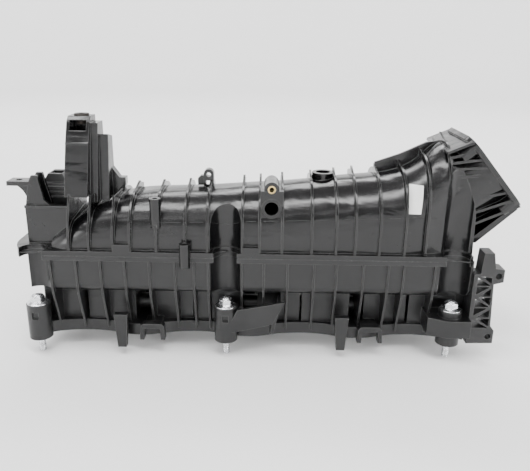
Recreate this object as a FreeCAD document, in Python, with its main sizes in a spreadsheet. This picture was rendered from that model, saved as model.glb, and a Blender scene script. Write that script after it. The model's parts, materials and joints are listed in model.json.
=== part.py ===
"""Intake manifold of a four-cylinder diesel engine: a welded plastic plenum over eight short runners, with
swirl flaps on one shaft, captive bolts and the brackets that are moulded on.

Frame: the head flange's face is z = 0, x = 0 is midway between cylinders two and three, y = 0 is the row of
ports. +X runs to the throttle, -Y faces the front of the engine bay, +Z points up to the plenum. Millimetres.
"""
import FreeCAD, Part
import math
import os
import Sketcher

doc = FreeCAD.newDocument("IntakeManifold")
sheet = doc.addObject("Spreadsheet::Sheet", "Sizes")
ORIGIN = FreeCAD.Vector(0, 0, 0)
UP = FreeCAD.Vector(0, 0, 1)
ALONG_Y = FreeCAD.Rotation(FreeCAD.Vector(1, 0, 0), -90)
ALONG_X = FreeCAD.Rotation(FreeCAD.Vector(0, 1, 0), 90)
SKETCH_XZ = FreeCAD.Rotation(FreeCAD.Vector(1, 0, 0), 90)
SKETCH_YZ = FreeCAD.Rotation(FreeCAD.Vector(1, 1, 1), 120)

# Driving sizes: alias, value, what it is
SIZES = [
    ("bore_pitch", 91, "spacing of the cylinders"),
    ("port_offset", 20, "each port from its cylinder's centre, along x"),
    ("port_wide", 30, "port opening along x"),
    ("port_deep", 30, "port opening along y"),
    ("runner_wall", 3, "wall round a runner"),
    ("flange_thick", 10, "head flange"),
    ("flange_waist", 23, "half depth of the head flange at a cylinder's centre"),
    ("flange_belly", 31, "half depth of the head flange between cylinders"),
    ("flange_left", 172, "head flange, left end"),
    ("flange_right", 182, "head flange, right end"),
    ("tub_floor", 40, "underside of the plenum's lower half"),
    ("seam_level", 74, "weld plane between the shells"),
    ("seam_thick", 4, "each shell's weld flange"),
    ("seam_lip", 5, "how far the weld flange stands out of the walls"),
    ("plenum_front", 36, "plenum front wall, from the port row"),
    ("plenum_rear", 48, "plenum rear wall, from the port row"),
    ("plenum_left", 182, "plenum lower half, left end"),
    ("plenum_right", 182, "plenum lower half, right end"),
    ("wall", 3, "shell wall"),
    ("rib_thick", 1.8, "ribs"),
    ("rib_proud", 3.5, "how far the ribs stand out of the walls"),
    ("rib_peak", 3.5, "extra height of the ribs on top"),
    ("bolt_shank", 6, "mounting bolt thread"),
    ("bolt_waist", 5.4, "mounting bolt shank inside its sleeve"),
    ("bolt_flats", 10, "mounting bolt head across flats"),
    ("bolt_flange", 17.5, "mounting bolt head flange, across"),
    ("bolt_flange_thick", 1.6, "mounting bolt head flange"),
    ("bolt_head", 8.4, "mounting bolt head with its dome"),
    ("bolt_reach", 13.5, "how far the bolts stand out below the flange"),
    ("boss_across", 19, "front and rear bolt bosses"),
    ("boss_top", 30, "seat of the bolt heads"),
    ("sleeve_bore", 6.8, "compression sleeve, inside"),
    ("sleeve_wall", 1.6, "compression sleeve wall"),
    ("bolt_row_front", 35, "front bolts, from the port row"),
    ("bolt_row_rear", 37, "rear bolts, from the port row"),
    ("bolt_left", 174, "front bolt at the left end, from the middle"),
    ("bolt_mid", 18.5, "front bolt near the middle, to the left"),
    ("bolt_right", 167.5, "front bolt at the right end, from the middle"),
    ("rear_pitch", 91, "spacing of the rear bolts"),
    ("tool_room", 12.5, "radius kept clear over each bolt in the walls"),
    ("tool_room_seam", 11, "radius kept clear over each bolt in the weld flange"),
    ("shaft_across", 6, "swirl flap shaft"),
    ("shaft_level", 18, "swirl flap shaft above the head face"),
    ("shaft_play", 0.05, "radial play of the shaft in its bushes"),
    ("shaft_room", 0.5, "radial room round the shaft where it only passes"),
    ("shaft_left", 164, "swirl flap shaft, left end"),
    ("shaft_right", 190, "swirl flap shaft, right end"),
    ("bush_across", 11, "shaft bushes, outside"),
    ("bush_long", 9, "left shaft bush"),
    ("bush_short", 3.6, "right shaft bush"),
    ("frame_wall", 2, "flap frame wall"),
    ("frame_fit", 0.2, "room between a flap frame and its pocket"),
    ("frame_top", 34, "top of the flap frames"),
    ("flap_gap", 0.6, "room between a flap and its frame"),
    ("flap_thick", 1.8, "flap plate"),
    ("flap_hub", 9, "flap hub, across"),
    ("lever_arm", 16, "actuator lever, shaft to ball"),
    ("lever_thick", 4, "actuator lever"),
    ("ball_across", 8, "ball stud on the lever"),
    ("gasket_groove", 2.4, "depth of the groove for a port gasket"),
    ("gasket_wide", 2.6, "port gasket cord"),
    ("gasket_proud", 0.6, "how far a gasket stands out of its groove"),
    ("throttle_x", 196.8, "centre of the throttle flange"),
    ("throttle_y", 11, "centre of the throttle flange"),
    ("throttle_z", 142.1, "centre of the throttle flange"),
    ("throttle_tilt", 49.5, "throttle axis from upright, towards +X"),
    ("throttle_bore", 54, "throttle bore"),
    ("throttle_neck", 70, "neck behind the throttle flange, outside"),
    ("throttle_long", 74, "throttle flange along its slope"),
    ("throttle_wide", 72, "throttle flange along y"),
    ("throttle_plate", 4, "throttle flange thickness"),
    ("throttle_pitch", 56, "spacing of the throttle screws, both ways"),
    ("insert_across", 8, "threaded inserts, outside"),
    ("insert_thread", 5.2, "threaded inserts, core of the thread"),
    ("insert_long", 12, "threaded inserts"),
    ("tower_top", 179, "top of the cover tower"),
    ("box_top", 110, "top edge of the left box"),
    ("port_boss_x", 61, "sensor port, from the middle"),
    ("port_boss_y", 8, "sensor port, from the port row"),
    ("port_boss_top", 135, "top of the sensor port"),
    ("port_boss_across", 18.6, "sensor port, outside"),
    ("port_boss_bore", 12, "sensor port, inside"),
    ("truss_front", 40, "actuator bracket, front face from the port row"),
    ("truss_thick", 14, "actuator bracket, front to back"),
]

# The plenum's upper half at each station along x: station, front, rear, top, shoulder radius
STATIONS = [
    (-160, -30, 40, 84, 8),
    (-140, -36, 46, 99, 20),
    (-120, -36, 48, 110, 28),
    (-95, -36, 48, 117, 34),
    (-43, -36, 48, 120.5, 36),
    (0, -36, 48, 124, 38),
    (42, -36, 48, 127.8, 40),
    (84, -36, 48, 132.8, 40),
    (112, -36, 48, 136, 40),
    (128, -36, 48, 141, 40),
    (142, -34, 49, 151, 39),
    (158, -30, 50, 162, 37),
    (190, -23, 51, 174, 34),
]
UPPER_RIBS = [-143.8, -127.3, -108, -94.6, -73.3, -50.8, -33, -5.2, 8.6, 26.7,
              50.3, 69.7, 84.8, 104.2, 124.1, 141.3, 158]
LOWER_RIBS = [-160, -139.3, -119.4, -99.9, -80.1, -59.4, -44.1, -32.5, -5.5, 12.4, 31.7,
              53.1, 71.3, 93, 113.1, 125.6, 150.6]
BRIDGES = ("-80", "102")


def fill_sheet():
    for row, (alias, size, note) in enumerate(SIZES, start=1):
        sheet.set(f"A{row}", note)
        sheet.set(f"B{row}", str(size))
        sheet.setAlias(f"B{row}", alias)
    doc.recompute()


def number(text):
    """The value of an expression in the sheet's words."""
    return float(sheet.evalExpression(in_sheet(text)))


def in_sheet(text):
    """An expression with each size's alias named in full."""
    words = []
    word = ""
    for letter in str(text) + " ":
        if letter.isalnum() or letter in "_.":
            word += letter
            continue
        words.append("Sizes." + word if word in ALIASES else word)
        words.append(letter)
        word = ""
    return "".join(words).strip()


ALIASES = {alias for alias, size, note in SIZES}


def bind(thing, prop, text):
    thing.setExpression(prop, in_sheet(text))


def place(thing, x, y, z, turn=None):
    if turn is not None:
        thing.Placement = FreeCAD.Placement(ORIGIN, turn)
    for letter, text in zip("xyz", (x, y, z)):
        bind(thing, f"Placement.Base.{letter}", text)
    return thing


def block(name, x, y, z):
    """A box between two expressions on each axis."""
    thing = doc.addObject("Part::Box", name)
    for side, (low, high) in zip(("Length", "Width", "Height"), (x, y, z)):
        bind(thing, side, f"({high}) - ({low})")
    return place(thing, x[0], y[0], z[0])


def rod(name, radius, long, x, y, z, turn=None):
    thing = doc.addObject("Part::Cylinder", name)
    bind(thing, "Radius", radius)
    bind(thing, "Height", long)
    return place(thing, x, y, z, turn)


def joined(name, things):
    fuse = doc.addObject("Part::MultiFuse", name)
    fuse.Shapes = things
    return fuse


def cut(name, base, tools, refine=True):
    """The tools cut from a base. Refining merges split faces, and is left out where it breaks a large shape."""
    tool = tools[0] if len(tools) == 1 else joined(name + "Tools", tools)
    thing = doc.addObject("Part::Cut", name)
    thing.Base = base
    thing.Tool = tool
    thing.Refine = refine
    return thing


def common(name, one, other):
    thing = doc.addObject("Part::Common", name)
    thing.Base = one
    thing.Tool = other
    return thing


def group(name, things):
    thing = doc.addObject("Part::Compound", name)
    thing.Links = things
    return thing


def draw(sketch, outline):
    """A closed outline in a sketch. Each corner is a pair of expressions; a third pair is the middle of an arc
    that runs on to the next corner."""
    corners = [FreeCAD.Vector(number(c[0]), number(c[1]), 0) for c in outline]
    count = len(outline)
    for index, corner in enumerate(outline):
        start, end = corners[index], corners[(index + 1) % count]
        if len(corner) == 3:
            middle = FreeCAD.Vector(number(corner[2][0]), number(corner[2][1]), 0)
            clockwise = (middle - start).cross(end - middle).z < 0
            sketch.addGeometry(Part.Arc(end, middle, start) if clockwise else Part.Arc(start, middle, end), False)
        else:
            sketch.addGeometry(Part.LineSegment(start, end), False)
    ends = [arc_ends(sketch, index, corners[index]) for index in range(count)]
    for index in range(count):
        after = (index + 1) % count
        sketch.addConstraint(Sketcher.Constraint("Coincident", index, ends[index][1], after, ends[after][0]))
    for index, corner in enumerate(outline):
        for kind, text in (("DistanceX", corner[0]), ("DistanceY", corner[1])):
            at = sketch.addConstraint(
                Sketcher.Constraint(kind, -1, 1, index, ends[index][0], number(text)))
            sketch.setExpression(f"Constraints[{at}]", in_sheet(text))
        if len(corner) == 3:
            sketch.addConstraint(arc_constraint(sketch.Geometry[index], index))
    return sketch


def arc_constraint(arc, index):
    """Holds an arc whose ends are fixed, by how far its centre lies from one end."""
    chord = arc.EndPoint - arc.StartPoint
    kind, offset = "DistanceX", arc.Center.x - arc.StartPoint.x
    if abs(chord.x) > abs(chord.y):
        kind, offset = "DistanceY", arc.Center.y - arc.StartPoint.y
    first, second = (1, 3) if offset >= 0 else (3, 1)
    return Sketcher.Constraint(kind, index, first, index, second, abs(offset))


def arc_ends(sketch, index, start):
    """Which end of a drawn edge is its start: a clockwise arc is drawn the other way round."""
    edge = sketch.Geometry[index]
    return (1, 2) if edge.StartPoint.distanceToPoint(start) < 1e-6 else (2, 1)


def slab(name, plane, outline, start, thick):
    """An outline in the XZ, YZ or XY plane, drawn out along the third axis from start."""
    turns = {"XZ": SKETCH_XZ, "YZ": SKETCH_YZ, "XY": FreeCAD.Rotation()}
    ways = {"XZ": FreeCAD.Vector(0, 1, 0), "YZ": FreeCAD.Vector(1, 0, 0), "XY": UP}
    sketch = doc.addObject("Sketcher::SketchObject", name + "Outline")
    where = {"XZ": ("0", start, "0"), "YZ": (start, "0", "0"), "XY": ("0", "0", start)}[plane]
    place(sketch, *where, turns[plane])
    draw(sketch, outline)
    thing = doc.addObject("Part::Extrusion", name)
    thing.Base = sketch
    thing.DirMode = "Custom"
    thing.Dir = ways[plane]
    thing.Solid = True
    bind(thing, "LengthFwd", thick)
    return thing


def origin_plane(body, role):
    for feature in body.Origin.OriginFeatures:
        if feature.Role == role:
            return feature


def body_sketch(body, name, role, outline):
    sketch = body.newObject("Sketcher::SketchObject", name)
    sketch.AttachmentSupport = (origin_plane(body, role), [""])
    sketch.MapMode = "FlatFace"
    doc.recompute()
    return draw(sketch, outline)


def turned(name, outline):
    """A body turned about its own z axis from a half section (radius, height)."""
    body = doc.addObject("PartDesign::Body", name)
    sketch = body_sketch(body, name + "Section", "XZ_Plane", outline)
    revolution = body.newObject("PartDesign::Revolution", name + "Turned")
    revolution.Profile = sketch
    revolution.ReferenceAxis = (sketch, ["V_Axis"])
    revolution.Angle = 360
    doc.recompute()
    return body


def ring(name, inner, outer, low, high):
    return turned(name, [(inner, low), (outer, low), (outer, high), (inner, high)])


def padded(name, role, outline, long, midplane=False):
    body = doc.addObject("PartDesign::Body", name)
    sketch = body_sketch(body, name + "Outline", role, outline)
    pad = body.newObject("PartDesign::Pad", name + "Pad")
    pad.Profile = sketch
    pad.Midplane = midplane
    bind(pad, "Length", long)
    doc.recompute()
    return body


def pocketed(body, name, role, outline, long):
    """A pocket through the body, both ways from one of its own planes."""
    before = body.Shape.Volume
    sketch = body_sketch(body, name, role, outline)
    pocket = body.newObject("PartDesign::Pocket", name + "Cut")
    pocket.Profile = sketch
    pocket.Midplane = True
    bind(pocket, "Length", long)
    doc.recompute()
    if not body.Shape.Volume < before:
        raise RuntimeError(f"{name} cuts nothing")
    return body


def oblong(half_x, half_y, radius):
    """A rounded rectangle about the origin, as an outline."""
    x, y, r = f"({half_x})", f"({half_y})", f"({radius})"
    k = 1 - math.sqrt(0.5)
    return [
        (f"-{x} + {r}", f"-{y}"),
        (f"{x} - {r}", f"-{y}", (f"{x} - {r} * {k:.6f}", f"-{y} + {r} * {k:.6f}")),
        (f"{x}", f"-{y} + {r}"),
        (f"{x}", f"{y} - {r}", (f"{x} - {r} * {k:.6f}", f"{y} - {r} * {k:.6f}")),
        (f"{x} - {r}", f"{y}"),
        (f"-{x} + {r}", f"{y}", (f"-{x} + {r} * {k:.6f}", f"{y} - {r} * {k:.6f}")),
        (f"-{x}", f"{y} - {r}"),
        (f"-{x}", f"-{y} + {r}", (f"-{x} + {r} * {k:.6f}", f"-{y} + {r} * {k:.6f}")),
    ]


def moved(outline, x, y):
    """An outline shifted by two expressions."""
    result = []
    for corner in outline:
        pairs = [(f"({x}) + ({c[0]})", f"({y}) + ({c[1]})") for c in [corner[:2]] + list(corner[2:])]
        result.append((pairs[0][0], pairs[0][1], *pairs[1:]))
    return result


def cylinder_centres():
    return [f"bore_pitch * {step}" for step in (-1.5, -0.5, 0.5, 1.5)]


def bolt_places():
    """Every mounting bolt as a name and its x and y."""
    front = [("Left", "-bolt_left"), ("Mid", "-bolt_mid"), ("Right", "bolt_right")]
    rear = [("RearLeft", "-rear_pitch"), ("RearMid", "0"), ("RearRight", "rear_pitch")]
    return [(n, x, "-bolt_row_front") for n, x in front] + [(n, x, "bolt_row_rear") for n, x in rear]


def tool_rods(name, radius, low):
    """A clear column over each bolt, from low upwards."""
    high = "throttle_z + throttle_long"
    return [rod(name + n, radius, f"{high} - ({low})", x, y, low) for n, x, y in bolt_places()]


def plenum_loft(name, inset, low):
    """The plenum's upper half as one tapered tube, inset by a wall, from low upwards."""
    sections = []
    for index, (x, front, rear, top, shoulder) in enumerate(STATIONS):
        sketch = doc.addObject("Sketcher::SketchObject", f"{name}Section{index}")
        along = f"{x} + {inset}" if index == 0 else str(x)
        place(sketch, along, "0", "0", SKETCH_YZ)
        grow_front = "(plenum_front - 36)"
        grow_rear = "(plenum_rear - 48)"
        y0, y1 = f"({front} + {inset} - {grow_front})", f"({rear} - {inset} + {grow_rear})"
        z1 = f"({top} - {inset} + seam_level - 74)"
        r = f"({shoulder} - {inset})"
        k = 1 - math.sqrt(0.5)
        draw(sketch, [
            (y0, low),
            (y1, low),
            (y1, f"{z1} - {r}", (f"{y1} - {r} * {k:.6f}", f"{z1} - {r} * {k:.6f}")),
            (f"{y1} - {r}", z1),
            (f"{y0} + {r}", z1, (f"{y0} + {r} * {k:.6f}", f"{z1} - {r} * {k:.6f}")),
            (y0, f"{z1} - {r}"),
        ])
        sections.append(sketch)
    loft = doc.addObject("Part::Loft", name)
    loft.Sections = sections
    loft.Solid = True
    loft.Ruled = False
    return loft


def end_outline(inset, low):
    """The plenum in side view: its end is round where it meets the throttle flange."""
    return [
        ("-plenum_left - 20", low),
        (f"plenum_right - {inset}", low),
        (f"plenum_right - 1 - {inset}", "108", (f"plenum_right - 9 - {inset}", "136")),
        (f"162 - {inset}", f"156 - {inset} / 2", (f"156 - {inset}", f"163 - {inset}")),
        ("144", f"167 - {inset}"),
        ("-plenum_left - 20", f"167 - {inset}"),
    ]


def plenum_top(name, inset, low):
    loft = plenum_loft(name + "Loft", inset, low)
    side = slab(name + "Side", "XZ", end_outline(inset, low), "-plenum_front - 20", "plenum_front + plenum_rear + 40")
    return common(name, loft, side)


def section_outline(x, proud, peak):
    """The plenum's section at x, standing proud of its walls and rising to a low peak on top."""
    below = [s for s in STATIONS if s[0] <= x][-1]
    above = [s for s in STATIONS if s[0] > x][0]
    share = (x - below[0]) / (above[0] - below[0])
    front, rear, top, shoulder = [a + (b - a) * share for a, b in zip(below[1:], above[1:])]
    k = (1 - math.sqrt(0.5)) * shoulder
    y0, y1, z1 = f"({front:.2f} - {proud})", f"({rear:.2f} + {proud})", f"({top:.2f} + {proud})"
    return [
        (y0, "seam_level"),
        (y1, "seam_level"),
        (y1, f"{z1} - {shoulder:.2f}", (f"{y1} - {k:.2f}", f"{z1} - {k:.2f}")),
        (f"{y1} - {shoulder:.2f}", z1),
        (f"{(front + rear) / 2 + 6:.2f}", f"{z1} + {peak}"),
        (f"{y0} + {shoulder:.2f}", z1, (f"{y0} + {k:.2f}", f"{z1} - {k:.2f}")),
        (y0, f"{z1} - {shoulder:.2f}"),
    ]


def throttle_turn():
    """The throttle flange's own axes: z is the bore's way out, x is down the slope."""
    tilt = number("throttle_tilt")
    return FreeCAD.Rotation(FreeCAD.Vector(0, 1, 0), tilt)


def on_throttle(thing, x="0", y="0", z="0"):
    """Places a thing made upright about the origin on the throttle flange, z = 0 on its sealing face."""
    tilt = "throttle_tilt"
    thing.Placement = FreeCAD.Placement(ORIGIN, throttle_turn())
    bind(thing, "Placement.Base.x", f"throttle_x + ({x}) * cos({tilt}) + ({z}) * sin({tilt})")
    bind(thing, "Placement.Base.y", f"throttle_y + ({y})")
    bind(thing, "Placement.Base.z", f"throttle_z - ({x}) * sin({tilt}) + ({z}) * cos({tilt})")
    return thing


def throttle_point(x, z):
    """A point of the throttle flange's middle plane, as expressions in the XZ plane."""
    tilt = "throttle_tilt"
    return (f"throttle_x + ({x}) * cos({tilt}) + ({z}) * sin({tilt})",
            f"throttle_z - ({x}) * sin({tilt}) + ({z}) * cos({tilt})")


def throttle_parts():
    """The plate, its screw bosses and the neck, each placed on the slope."""
    plate = slab("throttlePlate", "XY", oblong("throttle_long / 2", "throttle_wide / 2", "14"),
                 "0", "throttle_plate")
    on_throttle(plate.Base, z="-throttle_plate")
    plate.Dir = throttle_turn().multVec(UP)
    neck = doc.addObject("Part::Cylinder", "throttleNeck")
    bind(neck, "Radius", "throttle_neck / 2")
    bind(neck, "Height", "70")
    on_throttle(neck, z="-70")
    bosses = []
    for name, x, y in throttle_screws():
        boss = doc.addObject("Part::Cylinder", "throttleBoss" + name)
        bind(boss, "Radius", "insert_across / 2 + 2.5")
        bind(boss, "Height", "insert_long + 3")
        bosses.append(on_throttle(boss, x, y, "-insert_long - 3"))
    return [plate, neck] + bosses


def throttle_screws():
    half = "throttle_pitch / 2"
    return [("A", f"-{half}", f"-{half}"), ("B", f"-{half}", half), ("C", half, f"-{half}"), ("D", half, half)]


def throttle_ribs():
    """Slabs that fan from the plenum's round end to the flange."""
    fan = [(-33, 163, 158), (-24, 165, 154), (-16, 168, 150), (-8, 170, 145), (0, 171, 139),
           (9, 174, 129), (18, 177, 118), (26, 179, 106), (33, 180, 96)]
    ribs = []
    for index, (down, x, z) in enumerate(fan):
        near, far = throttle_point(f"{down} - 1.1", "-1.3"), throttle_point(f"{down} + 1.1", "-1.3")
        outline = [(str(x - 8), str(z - 1.1)), far, near, (str(x - 8), str(z + 1.1))]
        ribs.append(slab(f"throttleRib{index}", "XZ", outline, "throttle_y - throttle_wide / 2 + 2",
                         "throttle_wide - 4"))
    foot = throttle_point("throttle_long / 2 - 2", "-throttle_plate")
    toe = throttle_point("throttle_long / 2 - 6", "-throttle_plate")
    apron = [("plenum_right - 4", "84"), ("plenum_right + 4", "84"), foot, toe]
    ribs.append(slab("throttleApron", "XZ", apron, "throttle_y - throttle_wide / 2 + 4", "throttle_wide - 8"))
    return ribs


def throttle_cuts():
    bore = doc.addObject("Part::Cylinder", "throttleBore")
    bind(bore, "Radius", "throttle_bore / 2")
    bind(bore, "Height", "72")
    on_throttle(bore, z="-70")
    cuts = [bore]
    for name, x, y in throttle_screws():
        hole = doc.addObject("Part::Cylinder", "throttleHole" + name)
        bind(hole, "Radius", "insert_across / 2")
        bind(hole, "Height", "insert_long + 5")
        cuts.append(on_throttle(hole, x, y, "-insert_long"))
    groove = ring("throttleGroove", "throttle_bore / 2 + 1.6", "throttle_bore / 2 + 4.2", "-2", "1")
    cuts.append(on_throttle(groove))
    return cuts


def seam_outline(lip):
    """The weld flange in plan: the left end is round, the rest follows the walls at a lip's distance."""
    left, right = f"(-plenum_left - 5 - {lip})", f"(plenum_right + {lip} - 7)"
    front, rear = f"(-plenum_front - {lip})", f"(plenum_rear + {lip})"
    return [
        (f"{left} + 12", front, ),
        (f"{right} - 3", front),
        (right, f"{front} + 3"),
        (right, f"{rear} - 3"),
        (f"{right} - 3", rear),
        (f"{left} + 24", rear, (f"{left} + 7.03", f"{rear} - 7.03")),
        (left, f"{rear} - 24"),
        (left, f"{front} + 30", (f"{left} + 3.5", f"{front} + 12")),
    ]


def tower():
    """The hollow block that carries the engine cover, leaning back over two tall ribs."""
    front = [("-25", "118"), ("15", "118"), ("15", "tower_top"), ("2", "tower_top"), ("-3", "tower_top - 4"),
             ("-10", "160"), ("-11.2", "159"), ("-11", "157.5")]
    parts = [
        slab("towerBlock", "YZ", front, "-148", "18.5"),
        slab("towerWeb", "YZ", [("-17", "112"), ("14", "112"), ("14", "174"), ("-1", "174")], "-131", "7.5"),
        slab("towerFin", "YZ", [("-9", "112"), ("13", "112"), ("13", "162"), ("0", "165")], "-125", "9"),
        slab("towerArm", "XZ", [("-118", "108"), ("-107", "116"), ("-105", "122"), ("-105", "128"), ("-110", "128"),
                                ("-117", "138")], "5", "8"),
    ]
    for index, x in enumerate(("-145", "-128.2", "-109")):
        parts.append(slab(f"towerRib{index}", "YZ", [("-plenum_front - rib_proud", "seam_level"), ("-34", "100"),
                     ("-25", "120"), ("14", "120"), ("30", "seam_level")], x, "rib_thick"))
    hollow = [block("towerHollow", ("-145.5", "-132"), ("-6", "12.5"), ("120", "tower_top - 3")),
              rod("towerHole", "4.5", "12", "-138.5", "8", "tower_top - 6")]
    return parts, hollow


def left_box():
    """The tray over the left bolt with its post and cable arm."""
    wall = "2.2"
    parts = [
        block("boxFront", ("-179.5", "-146"), ("-21.5", f"-21.5 + {wall}"), ("seam_level", "box_top")),
        block("boxRear", ("-179.5", "-146"), ("26", f"26 + {wall}"), ("seam_level", "box_top")),
        block("boxSide", ("-181.5", "-179.3"), ("-21.5", "28.2"), ("seam_level", "box_top")),
        block("boxLip", ("-181.5", "-146"), ("-23", "-17"), ("box_top - 2", "box_top")),
        slab("boxPost", "XZ", [("-181.5", "box_top - 2"), ("-160", "box_top - 2"), ("-166.5", "114"),
                               ("-170", "134"), ("-175", "134"), ("-178", "127")], "-20", "3"),
        slab("boxPostBack", "XZ", [("-181.5", "box_top - 2"), ("-164", "box_top - 2"), ("-170", "134"),
                                   ("-175", "134"), ("-178", "127")], "-8", "3"),
        slab("boxArmWeb", "XZ", [("-181.5", "106"), ("-178", "106"), ("-175", "128"), ("-192", "126.5", ("-183.5", "120"))],
             "-16", "3"),
        block("boxArm", ("-195", "-174"), ("-20", "-6"), ("125.5", "129")),
    ]
    hollow = [rod("boxArmHole", "2.6", "8", "-187", "-13", "123")]
    return parts, hollow


def shell_fittings():
    """The small bosses, the sensor seat, the strap bracket and the long web on top."""
    parts = [
        rod("portBoss", "port_boss_across / 2", "port_boss_top - 108", "port_boss_x", "port_boss_y", "108"),
        rod("screwBoss", "4.4", "24", "-74", "-33", "96.5"),
        block("screwBossRib", ("-75", "-73"), ("-38", "-30"), ("seam_level", "100")),
        rod("seamBoss", "4.3", "20", "-50.5", "-43", "66.5"),
        block("sensorPad", ("9", "27"), ("-31", "-6"), ("96", "127")),
        rod("sensorRing", "8", "26", "17.8", "-32", "113", ALONG_Y),
        rod("sensorScrewRing", "6", "26", "17.8", "-30", "128", ALONG_Y),
        slab("strapBracket", "XZ", [("-39.5", "112"), ("-31", "112"), ("-31", "131.5", ("-35.25", "135.75")),
                                    ("-39.5", "131.5")], "7", "7"),
        slab("strapHook", "XZ", [("-44.5", "122"), ("-39", "122"), ("-39", "130"), ("-42", "130"), ("-44.5", "127.5")],
             "8", "5"),
        slab("topWeb", "XZ", [("104", "120"), ("160", "130"), ("160", "163"), ("146", "161"), ("125", "151"),
                              ("104", "143.5")], "10", "2.5"),
        block("seamTab", ("-108", "-94.6"), ("-plenum_front - seam_lip", "-plenum_front + 2"), ("seam_level", "84")),
        block("seamTabMid", ("-5.2", "8.6"), ("-plenum_front - seam_lip", "-plenum_front + 2"), ("seam_level", "83")),
    ]
    cuts = [
        rod("portBore", "port_boss_bore / 2", "40", "port_boss_x", "port_boss_y", "100"),
        rod("screwBossHole", "2.1", "16", "-74", "-33", "105"),
        rod("seamBossHole", "2", "14", "-50.5", "-43", "73"),
        rod("sensorHole", "5.5", "40", "17.8", "-34", "113", ALONG_Y),
        rod("sensorScrewHole", "3.2", "12", "17.8", "-32", "128", ALONG_Y),
        rod("strapHole", "1.9", "12", "-35.25", "5", "131", ALONG_Y),
        block("strapSlot", ("-37.5", "-33"), ("4", "16"), ("117", "126")),
    ]
    return parts, cuts


def upper_shell():
    outer = cut("upperOuter", plenum_top("upperLog", "0", "seam_level"), tool_rods("upperRoom", "tool_room", "seam_level - 1"))
    seam = slab("upperSeam", "XY", seam_outline("seam_lip"), "seam_level", "seam_thick")
    seam_open = cut("upperSeamOpen", seam, tool_rods("upperSeamRoom", "tool_room_seam", "boss_top"))
    ribs = []
    for index, x in enumerate(UPPER_RIBS):
        ribs.append(slab(f"upperRib{index}", "YZ", section_outline(x, "rib_proud", "rib_peak"), f"{x} - rib_thick / 2",
                         "rib_thick"))
    ribs_open = cut("upperRibsOpen", joined("upperRibs", ribs), tool_rods("ribRoom", "tool_room", "boss_top"))
    tower_solids, tower_hollow = tower()
    box_solids, box_hollow = left_box()
    fittings, fitting_cuts = shell_fittings()
    solids = [outer, seam_open, ribs_open] + throttle_parts() + throttle_ribs() + tower_solids + box_solids + fittings
    body = joined("upperSolid", solids)
    inner = plenum_top("upperCavity", "wall", "seam_level - 10")
    room = tool_rods("upperKeep", "tool_room + wall", "seam_level - 12")
    keep = [rod("sensorKeep", "7.5", "24", "17.8", "-32", "128", ALONG_Y)]
    cavity = cut("upperCavityOpen", inner, room + keep)
    hollow = cut("upperHollow", body, [cavity], refine=False)
    bored = cut("upperBored", hollow, throttle_cuts(), refine=False)
    return cut("upper_shell", bored, tower_hollow + box_hollow + fitting_cuts, refine=False)


def scalloped():
    """The head flange in plan: waisted at each cylinder's centre and full between."""
    corners = []
    centres = cylinder_centres()
    for side, order in (("-", centres), ("", centres[::-1])):
        for index, centre in enumerate(order):
            waist, belly = f"{side}flange_waist", f"{side}flange_belly"
            mid = f"({side}(flange_waist + flange_belly) / 2)"
            corners.append((f"{centre} {'-' if side else '+'} 26", mid, (centre, waist)))
            if index < 3:
                between = f"({centre} {'+' if side else '-'} bore_pitch / 2)"
                corners.append((f"{centre} {'+' if side else '-'} 26", mid, (between, belly)))
            else:
                corners.append((f"{centre} {'+' if side else '-'} 26", mid))
                end = "flange_right" if side else "-flange_left"
                corners.append((end, belly))
                corners.append((end, f"{'' if side else '-'}flange_belly"))
    return corners


def port_centres():
    """Every port's centre along x, and whether a swirl flap sits in it."""
    ports = []
    for centre in cylinder_centres():
        ports.append((f"({centre} - port_offset)", False))
        ports.append((f"({centre} + port_offset)", True))
    return ports


def across(centre, half):
    return (f"({centre}) - ({half})", f"({centre}) + ({half})")


def lower_shell():
    front, rear = "(-plenum_front)", "plenum_rear"

    def tub(name, inset, low, high):
        y0, y1, r = f"({front} + {inset})", f"({rear} - {inset})", f"(9 - {inset})"
        k = 1 - math.sqrt(0.5)
        outline = [
            (y0, high),
            (y0, f"{low} + {r}", (f"{y0} + {r} * {k:.6f}", f"{low} + {r} * {k:.6f}")),
            (f"{y0} + {r}", low),
            (f"{y1} - {r}", low, (f"{y1} - {r} * {k:.6f}", f"{low} + {r} * {k:.6f}")),
            (y1, f"{low} + {r}"),
            (y1, high),
        ]
        return slab(name, "YZ", outline, f"-plenum_left + {inset}", f"plenum_left + plenum_right - 2 * {inset}")

    outer = cut("lowerOuter", tub("lowerTub", "0", "tub_floor", "seam_level - 1"),
                tool_rods("lowerRoom", "tool_room", "boss_top"))
    seam = slab("lowerSeam", "XY", seam_outline("seam_lip"), "seam_level - seam_thick", "seam_thick")
    seam_open = cut("lowerSeamOpen", seam, tool_rods("lowerSeamRoom", "tool_room_seam", "boss_top"))
    ribs = []
    for index, x in enumerate(LOWER_RIBS):
        outline = [(f"{front} - rib_proud", "seam_level - 1"), (f"{front} - 1", "tub_floor"),
                   (f"{rear} + 1", "tub_floor"), (f"{rear} + rib_proud", "seam_level - 1")]
        ribs.append(slab(f"lowerRib{index}", "YZ", outline, f"{x} - rib_thick / 2", "rib_thick"))
    ribs_open = cut("lowerRibsOpen", joined("lowerRibs", ribs), tool_rods("lowerRibRoom", "tool_room", "boss_top"))
    body = joined("lowerSolid", [outer, seam_open, ribs_open])
    cavity = cut("lowerCavity", tub("lowerInner", "wall", "tub_floor + wall", "seam_level + 1"),
                 tool_rods("lowerKeep", "tool_room + wall", "boss_top"))
    throats = [block(f"lowerThroat{index}", across(x, "port_wide / 2"), across("0", "port_deep / 2"),
                     ("tub_floor - 1", "tub_floor + wall + 1")) for index, (x, flap) in enumerate(port_centres())]
    fitted = [rod("seamBossRoom", "4.6", "12", "-50.5", "-43", "64"),
              rod("screwSeatHigh", "2.4", "2.6", "plenum_right - 2.6", "-17", "57", ALONG_X)]
    return cut("lower_shell", body, [cavity] + throats + fitted)


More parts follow.
